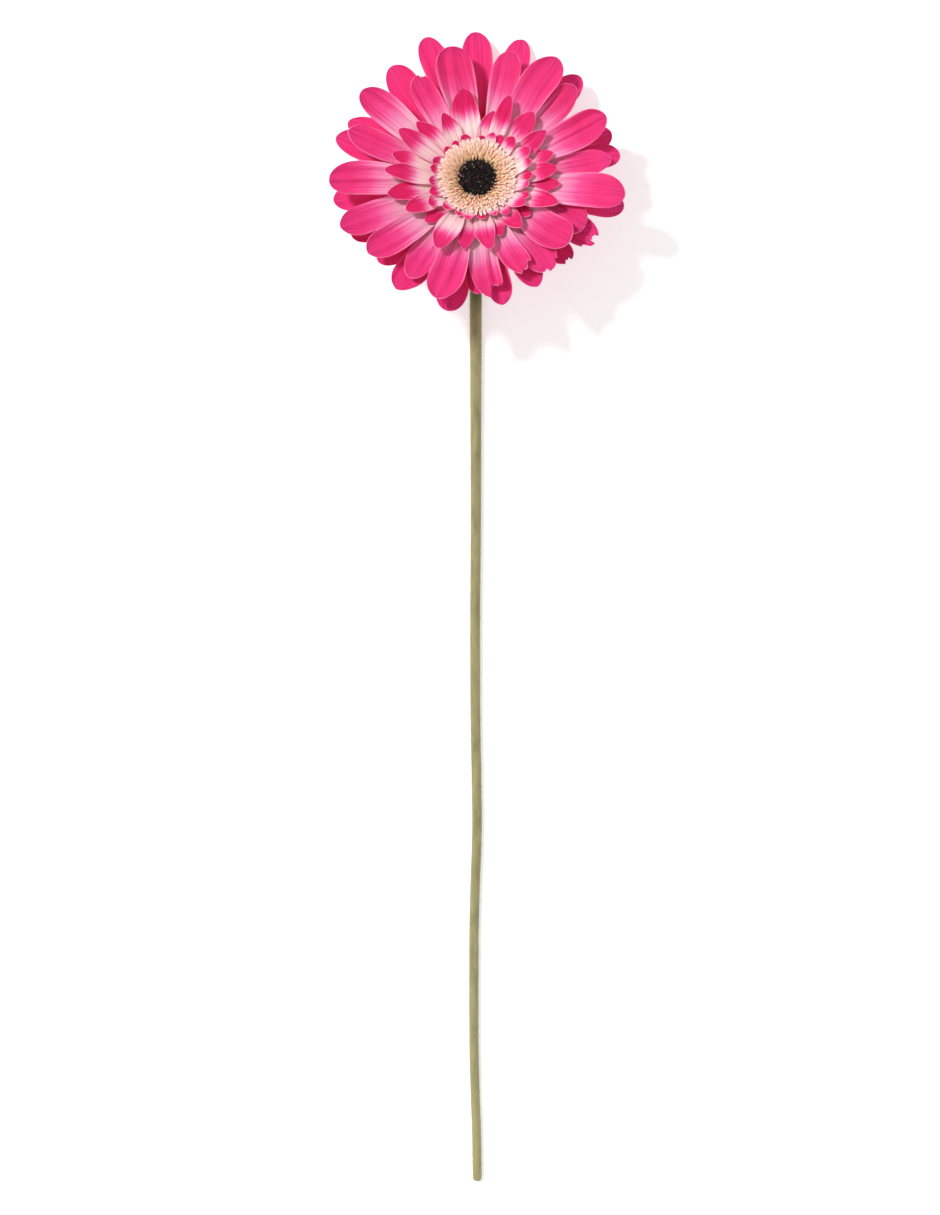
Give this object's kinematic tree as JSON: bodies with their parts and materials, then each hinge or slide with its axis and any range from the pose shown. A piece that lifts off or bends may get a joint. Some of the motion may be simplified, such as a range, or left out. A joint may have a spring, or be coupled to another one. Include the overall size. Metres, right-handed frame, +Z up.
{
  "type": "cut gerbera",
  "caption": "Large double gerbera head on a bare stem, lying on a surface: rows of strap petals round a pale fringe and a dark disc, tipped up on a bent neck.",
  "frame": {"origin": "on the surface the flower lies on, under the middle of the whole flower's outline", "axes": "+Z up, +Y along the stem from the cut end to the head, +X to the right when the head is at the top"},
  "size_m": [0.1287, 0.5193, 0.0685],
  "materials": {
    "stem": "matte",
    "bracts": "matte",
    "petals": "matte",
    "pale_petals": "matte",
    "fringe": "matte",
    "disc": "matte"
  },
  "bodies": {
    "root": {"stem": "stem", "involucre": "bracts", "back_petals": "petals", "front_petals": "petals", "short_petals": "pale_petals", "inner_petals": "pale_petals", "fringe": "fringe", "disc": "disc"}
  },
  "joints": []
}
